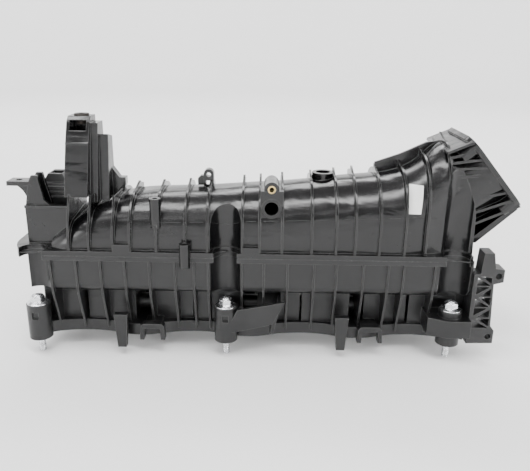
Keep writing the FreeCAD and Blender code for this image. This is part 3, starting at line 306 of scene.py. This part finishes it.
def smoothCopy(name, angle):
    piece = newPiece(name + "Moulded", nodes[name].data.copy())
    bm = bmesh.new()
    bm.from_mesh(piece.data)
    bmesh.ops.remove_doubles(bm, verts=bm.verts, dist=1e-6)
    bmesh.ops.dissolve_degenerate(bm, edges=bm.edges, dist=1e-7)
    bm.to_mesh(piece.data)
    bm.free()
    smoothByAngle(piece.data, angle)
    piece.data.materials.clear()
    piece.data.materials.append(finishes[slotOf[name]])
    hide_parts(name)
    return finishPiece(piece, bodyOf[name])


for name, node in nodes.items():
    node.data.materials.clear()
    node.data.materials.append(finishes[slotOf[name]])
moulded = {name: smoothCopy(name, angle) for name, angle in mouldedNodes.items()}
print("moulded pieces smoothed:", len(moulded))


def surfaceTree(name):
    bm = bmesh.new()
    bm.from_mesh(moulded[name].data)
    tree = BVHTree.FromBMesh(bm)
    bm.free()
    return tree


logSurface = surfaceTree("upper_shell")


boltSizes = {"flats": 0.010, "flange": 0.0175, "flangeThick": 0.0016, "headTop": 0.0069, "domeTop": 0.0084,
             "domeWide": 0.0034, "seat": 0.030, "waist": 0.0027, "core": 0.00262, "thread": 0.003,
             "pitch": 0.001, "threadLong": 0.0128, "threadDeep": 0.00042, "pointLong": 0.0007,
             "tip": -0.0135, "around": 72, "crisp": 24}
frontBolts = [(-0.174, -0.035), (-0.0185, -0.035), (0.1675, -0.035)]
rearBolts = [(-0.091, 0.037), (0.0, 0.037), (0.091, 0.037)]


def hexReach(angle, flat):
    return flat / math.cos((angle % (math.pi / 3)) - math.pi / 6)


def boltProfile(angle, b):
    # (radius, height) down one side of the bolt, from the dome to the point, with small steps at its corners
    flat = b["flats"] / 2
    reach = hexReach(angle, flat)
    corner = reach - flat
    seat, flange = b["seat"], b["flange"] / 2
    dome = [(b["domeWide"] * math.sin(step * math.pi / 8), b["seat"] + b["headTop"]
             + (b["domeTop"] - b["headTop"]) * math.cos(step * math.pi / 8)) for step in range(1, 5)]
    head = [
        (b["domeWide"] + 0.0003, seat + b["headTop"]),
        (flat * 0.93, seat + b["headTop"]),
        (flat * 0.97, seat + b["headTop"] - 0.0001),
        (reach - 0.00012, seat + b["headTop"] - 0.00035 - corner * 0.62),
        (reach, seat + b["headTop"] - 0.0006 - corner * 0.62),
        (reach, seat + b["flangeThick"] + 0.0012),
        (reach + 0.0004, seat + b["flangeThick"] + 0.0007),
        (flange - 0.0005, seat + b["flangeThick"] - 0.0003),
        (flange - 0.0001, seat + b["flangeThick"] - 0.0006),
        (flange, seat + 0.0006),
        (flange - 0.0003, seat + 0.0001),
        (flange - 0.0008, seat),
        (b["waist"], seat),
        (b["waist"], 0.0006),
        (b["core"], -0.0002),
        (b["core"], b["tip"] + b["pointLong"]),
        (b["core"] - 0.0008, b["tip"]),
    ]
    return dome + head


def boltMesh(places, b):
    bm = bmesh.new()
    for x, y in places:
        turn = 0.35 + 7 * x
        rings = []
        for step in range(b["around"]):
            angle = 2 * math.pi * step / b["around"]
            line = boltProfile(angle, b)
            rings.append([bm.verts.new((x + r * math.cos(angle + turn), y + r * math.sin(angle + turn), z))
                          for r, z in line])
        count = len(rings[0])
        for step, ring in enumerate(rings):
            after = rings[(step + 1) % len(rings)]
            for low in range(count - 1):
                bm.faces.new((ring[low], ring[low + 1], after[low + 1], after[low]))
        bm.faces.new([ring[-1] for ring in reversed(rings)])
        top = bm.verts.new((x, y, b["seat"] + b["domeTop"]))
        for step, ring in enumerate(rings):
            bm.faces.new((top, ring[0], rings[(step + 1) % len(rings)][0]))
    bmesh.ops.recalc_face_normals(bm, faces=bm.faces)
    return meshFromBmesh("bolts", bm)


def startTree(name, sizes):
    # a tree with a geometry in and out, the named inputs and a material
    tree = bpy.data.node_groups.new(name, "GeometryNodeTree")
    face = tree.interface
    face.new_socket("Geometry", in_out="INPUT", socket_type="NodeSocketGeometry")
    names = {}
    for label, kind in {**sizes, "Finish": "Material"}.items():
        names[label] = face.new_socket(label, in_out="INPUT", socket_type="NodeSocket" + kind).identifier
    face.new_socket("Geometry", in_out="OUTPUT", socket_type="NodeSocketGeometry")
    return tree, addNode(tree, "NodeGroupInput"), names


def endTree(tree, given, shape):
    # instances made real, and the material put on
    real = addNode(tree, "GeometryNodeRealizeInstances")
    link(tree, shape, real.inputs["Geometry"])
    paint = addNode(tree, "GeometryNodeSetMaterial")
    link(tree, real.outputs["Geometry"], paint.inputs["Geometry"])
    link(tree, given.outputs["Finish"], paint.inputs["Material"])
    result = addNode(tree, "NodeGroupOutput")
    link(tree, paint.outputs["Geometry"], result.inputs["Geometry"])


def threadTree():
    # a helix with a sharp profile, one on each point of the incoming mesh
    sizes = {"Radius": "Float", "Pitch": "Float", "Length": "Float", "Depth": "Float"}
    tree, given, names = startTree("boltThread", sizes)
    turns = addNode(tree, "ShaderNodeMath", operation="DIVIDE")
    link(tree, given.outputs["Length"], turns.inputs[0])
    link(tree, given.outputs["Pitch"], turns.inputs[1])
    root = addNode(tree, "ShaderNodeMath", operation="SUBTRACT")
    link(tree, given.outputs["Radius"], root.inputs[0])
    link(tree, given.outputs["Depth"], root.inputs[1])
    helix = addNode(tree, "GeometryNodeCurveSpiral", {"Resolution": 28})
    link(tree, turns.outputs[0], helix.inputs["Rotations"])
    link(tree, root.outputs[0], helix.inputs["Start Radius"])
    link(tree, root.outputs[0], helix.inputs["End Radius"])
    link(tree, given.outputs["Length"], helix.inputs["Height"])
    section = addNode(tree, "GeometryNodeCurvePrimitiveCircle", {"Resolution": 3})
    link(tree, given.outputs["Depth"], section.inputs["Radius"])
    sweep = addNode(tree, "GeometryNodeCurveToMesh", {"Fill Caps": True})
    link(tree, helix.outputs["Curve"], sweep.inputs["Curve"])
    link(tree, section.outputs["Curve"], sweep.inputs["Profile Curve"])
    spread = addNode(tree, "GeometryNodeInstanceOnPoints")
    link(tree, given.outputs["Geometry"], spread.inputs["Points"])
    link(tree, sweep.outputs["Mesh"], spread.inputs["Instance"])
    endTree(tree, given, spread.outputs["Instances"])
    return tree, names


def grown(piece, tree, names, values):
    modifier = piece.modifiers.new("build", "NODES")
    modifier.node_group = tree
    for label, value in values.items():
        modifier[names[label]] = value
    return frozen(piece)


def makeBolts(name, places, node, thread):
    b = boltSizes
    heads = newPiece(name, boltMesh(places, b))
    smoothByAngle(heads.data, b["crisp"])
    heads.data.materials.append(finishes["zinc_bolt"])
    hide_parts(node)
    finishPiece(heads, bodyOf[node])
    points = bpy.data.meshes.new(name + "Places")
    points.from_pydata([(x, y, b["tip"] + b["pointLong"]) for x, y in places], [], [])
    threads = newPiece(name + "Threads", points)
    threads = grown(threads, *thread, {
        "Radius": b["thread"], "Pitch": b["pitch"], "Depth": b["threadDeep"],
        "Length": b["threadLong"] - b["pointLong"], "Finish": finishes["zinc_bolt"]})
    finishPiece(threads, bodyOf[node])


thread = threadTree()
makeBolts("frontBoltHeads", frontBolts, "front_bolts", thread)
makeBolts("rearBoltHeads", rearBolts, "rear_bolts", thread)
print("bolts and threads built")


weldSizes = {"level": 0.074, "inset": 0.0006, "bead": 0.00055, "step": 0.0021, "crumb": 0.0007, "seed": 7,
             "middle": 0.006, "squash": 0.32, "far": 0.4, "around": 720}


def seamLoop(w):
    # the weld flange's outer edge, read from the lower shell round its middle
    surface = surfaceTree("lower_shell")
    centre = Vector((0.0, w["middle"], w["level"]))
    loop = []
    for step in range(w["around"]):
        angle = 2 * math.pi * step / w["around"]
        way = Vector((math.cos(angle), math.sin(angle) * w["squash"], 0)).normalized()
        hit = surface.ray_cast(centre + way * w["far"], -way)[0]
        if hit is not None:
            loop.append(hit - way * w["inset"])
    return loop


def flashTree():
    # a wavy bead along the curve, with crumbs of random size on it
    sizes = {"Bead": "Float", "Step": "Float", "Crumb": "Float", "Seed": "Int"}
    tree, given, names = startTree("weldFlash", sizes)
    even = addNode(tree, "GeometryNodeResampleCurve", mode="LENGTH")
    link(tree, given.outputs["Geometry"], even.inputs["Curve"])
    link(tree, given.outputs["Step"], even.inputs["Length"])
    wander = addNode(tree, "ShaderNodeTexNoise", {"Scale": 160.0, "Detail": 2.0})
    wide = addNode(tree, "ShaderNodeMapRange",
                   {"From Min": 0.3, "From Max": 0.7, "To Min": 0.35, "To Max": 1.5})
    link(tree, wander.outputs["Fac"], wide.inputs["Value"])
    section = addNode(tree, "GeometryNodeCurvePrimitiveCircle", {"Resolution": 8})
    link(tree, given.outputs["Bead"], section.inputs["Radius"])
    sweep = addNode(tree, "GeometryNodeCurveToMesh")
    link(tree, even.outputs["Curve"], sweep.inputs["Curve"])
    link(tree, section.outputs["Curve"], sweep.inputs["Profile Curve"])
    link(tree, wide.outputs["Result"], sweep.inputs["Scale"])
    blob = addNode(tree, "GeometryNodeMeshIcoSphere", {"Subdivisions": 2})
    link(tree, given.outputs["Crumb"], blob.inputs["Radius"])
    size = addNode(tree, "FunctionNodeRandomValue", data_type="FLOAT_VECTOR")
    size.inputs[0].default_value = (0.25, 0.2, 0.2)
    size.inputs[1].default_value = (1.5, 0.9, 0.9)
    link(tree, given.outputs["Seed"], size.inputs["Seed"])
    keep = addNode(tree, "FunctionNodeRandomValue", data_type="BOOLEAN")
    keep.inputs["Probability"].default_value = 0.4
    link(tree, given.outputs["Seed"], keep.inputs["Seed"])
    points = addNode(tree, "GeometryNodeCurveToPoints", mode="EVALUATED")
    link(tree, even.outputs["Curve"], points.inputs["Curve"])
    spread = addNode(tree, "GeometryNodeInstanceOnPoints")
    link(tree, points.outputs["Points"], spread.inputs["Points"])
    link(tree, keep.outputs[3], spread.inputs["Selection"])
    link(tree, blob.outputs["Mesh"], spread.inputs["Instance"])
    link(tree, points.outputs["Rotation"], spread.inputs["Rotation"])
    link(tree, size.outputs[0], spread.inputs["Scale"])
    both = addNode(tree, "GeometryNodeJoinGeometry")
    link(tree, sweep.outputs["Mesh"], both.inputs["Geometry"])
    link(tree, spread.outputs["Instances"], both.inputs["Geometry"])
    endTree(tree, given, both.outputs["Geometry"])
    return tree, names


def lineObject(name, points, closed=False):
    # a chain of edges, turned to a curve object
    curve = bpy.data.curves.new(name, "CURVE")
    curve.dimensions = "3D"
    spline = curve.splines.new("POLY")
    spline.points.add(len(points) - 1)
    for point, place in zip(spline.points, points):
        point.co = (*place, 1)
    spline.use_cyclic_u = closed
    return newPiece(name, curve)


weldLine = lineObject("weldFlash", seamLoop(weldSizes), closed=True)
weld = grown(weldLine, *flashTree(), {
    "Bead": weldSizes["bead"], "Step": weldSizes["step"], "Crumb": weldSizes["crumb"],
    "Seed": weldSizes["seed"], "Finish": finishes["shell_satin"]})
weld.name = "weldFlash"
smoothAll(weld.data)
finishPiece(weld, "manifold")
print("weld flash:", len(weld.data.polygons), "faces")


partingSizes = {"ribGap": 0.0024, "radius": 0.00032, "step": 0.0015, "start": -0.080, "end": 0.150,
                "slope": 24, "slopeMore": 9, "jump": 0.004, "fewest": 3,
                "logMiddle": (0.004, 0.084), "reach": 0.12}
# millimetres along X
ribPlaces = [-143.8, -127.3, -108, -94.6, -73.3, -50.8, -33, -5.2, 8.6, 26.7, 50.3, 69.7, 84.8, 104.2, 124.1,
             141.3, 158]


def ridgeTree():
    # a thin round bead along the curve
    tree, given, names = startTree("partingRidge", {"Radius": "Float"})
    section = addNode(tree, "GeometryNodeCurvePrimitiveCircle", {"Resolution": 8})
    link(tree, given.outputs["Radius"], section.inputs["Radius"])
    sweep = addNode(tree, "GeometryNodeCurveToMesh", {"Fill Caps": True})
    link(tree, given.outputs["Geometry"], sweep.inputs["Curve"])
    link(tree, section.outputs["Curve"], sweep.inputs["Profile Curve"])
    endTree(tree, given, sweep.outputs["Mesh"])
    return tree, names


def onLog(x, slope):
    # where a line from in front, rising with the slope angle, meets the log
    way = Vector((0, -math.cos(slope), math.sin(slope)))
    centre = Vector((x, *partingSizes["logMiddle"]))
    return logSurface.ray_cast(centre + way * partingSizes["reach"], -way)[0]


def partingRuns(p):
    # chains of points between the ribs, broken where the surface steps
    runs, run = [], []
    x = p["start"]
    while x <= p["end"]:
        clear = min(abs(x * 1000 - rib) for rib in ribPlaces) > p["ribGap"] * 1000
        slope = math.radians(p["slope"] + p["slopeMore"] * (x - p["start"]) / (p["end"] - p["start"]))
        hit = onLog(x, slope) if clear else None
        steady = hit is not None and (not run or (hit - run[-1]).length < p["jump"])
        if steady:
            run.append(hit)
        else:
            if len(run) > p["fewest"]:
                runs.append(run)
            run = []
        x += p["step"]
    return runs + ([run] if len(run) > p["fewest"] else [])


ridge = ridgeTree()
ridgeMeshes = []
for index, run in enumerate(partingRuns(partingSizes)):
    line = lineObject(f"partingLine{index}", run)
    made = grown(line, *ridge, {"Radius": partingSizes["radius"], "Finish": finishes["shell_gloss"]})
    smoothAll(made.data)
    ridgeMeshes.append(made)
bm = bmesh.new()
for made in ridgeMeshes:
    bm.from_mesh(made.data)
    bpy.data.objects.remove(made)
parting = newPiece("partingLine", meshFromBmesh("partingLine", bm))
parting.data.materials.append(finishes["shell_gloss"])
finishPiece(parting, "manifold")
print("parting line runs:", len(ridgeMeshes))


labelSizes = {"left": 0.1262, "right": 0.1364, "low": 0.1115, "high": 0.1325, "lean": 0.0022,
              "thick": 0.00022, "lift": 0.00005, "across": 12, "up": 18, "crisp": 40}
paperLook = {"clean": (0.86, 0.86, 0.84), "stained": (0.72, 0.71, 0.68), "fibreScale": 1500,
             "stainScale": 140}


def labelPaper():
    material, tree, surface = startMaterial("labelPaper", IOR=1.48, Specular_IOR_Level=0.5)
    coords = objectCoords(tree)
    fibre = noise(tree, coords, paperLook["fibreScale"], 3, 0.6)
    stain = noise(tree, coords, paperLook["stainScale"], 3, 0.6)
    share = mapRange(tree, stain, 0.4, 0.75, 0, 0.5)
    link(tree, mixColour(tree, share, paperLook["clean"], paperLook["stained"]), surface.inputs["Base Color"])
    link(tree, mapRange(tree, stain, 0.3, 0.7, 0.3, 0.45), surface.inputs["Roughness"])
    link(tree, bump(tree, fibre, 0.12, 0.0002), surface.inputs["Normal"])
    return material


def makeLabel(s):
    bm = bmesh.new()
    grid = []
    for row in range(s["up"] + 1):
        up = row / s["up"]
        line = []
        for column in range(s["across"] + 1):
            x = s["left"] + (s["right"] - s["left"]) * column / s["across"] + s["lean"] * (up - 0.5)
            z = s["low"] + (s["high"] - s["low"]) * up
            hit, normal = logSurface.ray_cast(Vector((x, -0.12, z)), Vector((0, 1, 0)))[:2]
            line.append(bm.verts.new(hit - Vector((0, s["thick"], 0)) + normal * s["lift"]))
        grid.append(line)
    for low, high in zip(grid, grid[1:]):
        for column in range(s["across"]):
            bm.faces.new((low[column], low[column + 1], high[column + 1], high[column]))
    mesh = meshFromBmesh("label", bm)
    piece = newPiece("blankLabel", mesh)
    wall = piece.modifiers.new("thickness", "SOLIDIFY")
    wall.thickness = s["thick"]
    wall.offset = -1
    frozen(piece)
    smoothByAngle(piece.data, s["crisp"])
    piece.data.materials.clear()
    piece.data.materials.append(labelPaper())
    return piece


finishPiece(makeLabel(labelSizes), "manifold")
print("label laid on")


stageSizes = {"flat": 2.4, "bend": 0.9, "high": 1.9, "around": 96, "under": 0.0004, "sky": 0.6}


def makeBackdrop(s, level):
    # a round floor whose rim bends up all the way round
    line = [(0.35 * step, level) for step in range(1, 7)] + [(s["flat"], level)]
    for step in range(1, 13):
        angle = math.pi / 2 * step / 12
        rise = level + s["bend"] * (1 - math.cos(angle))
        line.append((s["flat"] + s["bend"] * math.sin(angle), rise))
    line.append((s["flat"] + s["bend"], s["high"]))
    bm = bmesh.new()
    rings = []
    for step in range(s["around"]):
        angle = 2 * math.pi * step / s["around"]
        rings.append([bm.verts.new((r * math.cos(angle), r * math.sin(angle), z)) for r, z in line])
    middle = bm.verts.new((0, 0, level))
    for step, ring in enumerate(rings):
        after = rings[(step + 1) % len(rings)]
        bm.faces.new((middle, ring[0], after[0]))
        for low in range(len(line) - 1):
            bm.faces.new((ring[low], ring[low + 1], after[low + 1], after[low]))
    floor = newPiece("floor", meshFromBmesh("floor", bm))
    smoothAll(floor.data)
    material, tree, surface = startMaterial("paleFloor", Roughness=0.85)
    drift = noise(tree, objectCoords(tree), 3, 3)
    link(tree, mixColour(tree, drift, (0.86, 0.86, 0.86), (0.9, 0.9, 0.9)), surface.inputs["Base Color"])
    floor.data.materials.append(material)


lampSizes = {  # place, target, width and height, power
    "topStrip": ((-0.15, -0.25, 1.25), (0, 0, 0.1), (1.3, 0.22), 16),
    "rearStrip": ((0.1, 0.9, 1.1), (0, 0, 0.1), (1.2, 0.25), 10),
    "frontLeft": ((-1.3, -1.0, 0.7), (0, 0, 0.08), (0.5, 0.9), 9),
    "rightSide": ((1.3, -0.7, 0.55), (0.1, 0, 0.1), (0.35, 0.9), 8),
}
washSizes = {"near": 1.2, "nearHigh": 1.7, "far": 3.0, "farHigh": 0.2, "size": (2.2, 0.7), "power": 62}


def softLight(name, place, target, size, power):
    lamp = bpy.data.lights.new(name, "AREA")
    lamp.shape = "RECTANGLE"
    lamp.size, lamp.size_y = size
    lamp.energy = power
    thing = newPiece(name, lamp)
    thing.location = place
    thing.rotation_mode = "QUATERNION"
    thing.rotation_quaternion = (Vector(target) - Vector(place)).to_track_quat("-Z", "Y")


makeBackdrop(stageSizes, cadBox[0].z - stageSizes["under"])
for name, lamp in lampSizes.items():
    softLight(name, *lamp)
for index, angle in enumerate(range(45, 405, 90)):  # washes on the rim, facing away from the part
    out = Vector((math.cos(math.radians(angle)), math.sin(math.radians(angle)), 0))
    place = out * washSizes["near"] + Vector((0, 0, washSizes["nearHigh"]))
    target = out * washSizes["far"] + Vector((0, 0, washSizes["farHigh"]))
    softLight(f"rimWash{index}", place, target, washSizes["size"], washSizes["power"])
world = bpy.data.worlds.new("studio")
bpy.context.scene.world = world
world.use_nodes = True
sky = world.node_tree.nodes["Background"]
sky.inputs["Color"].default_value = (1, 1, 1, 1)
sky.inputs["Strength"].default_value = stageSizes["sky"]

cameraSizes = {"place": (0.013, -0.4879, 0.2435), "pitch": 71.5, "roll": 0.93, "lens": 40.75, "sensor": 36}
lens = bpy.data.cameras.new("camera")
lens.sensor_width = cameraSizes["sensor"]
lens.lens = cameraSizes["lens"]
lens.clip_start = 0.01
camera = newPiece("camera", lens)
camera.location = cameraSizes["place"]
camera.rotation_mode = "QUATERNION"
tilt = Quaternion((1, 0, 0), math.radians(cameraSizes["pitch"]))
camera.rotation_quaternion = tilt @ Quaternion((0, 0, 1), math.radians(cameraSizes["roll"]))
bpy.context.scene.camera = camera
print("floor, light and camera set")

bpy.context.view_layer.update()
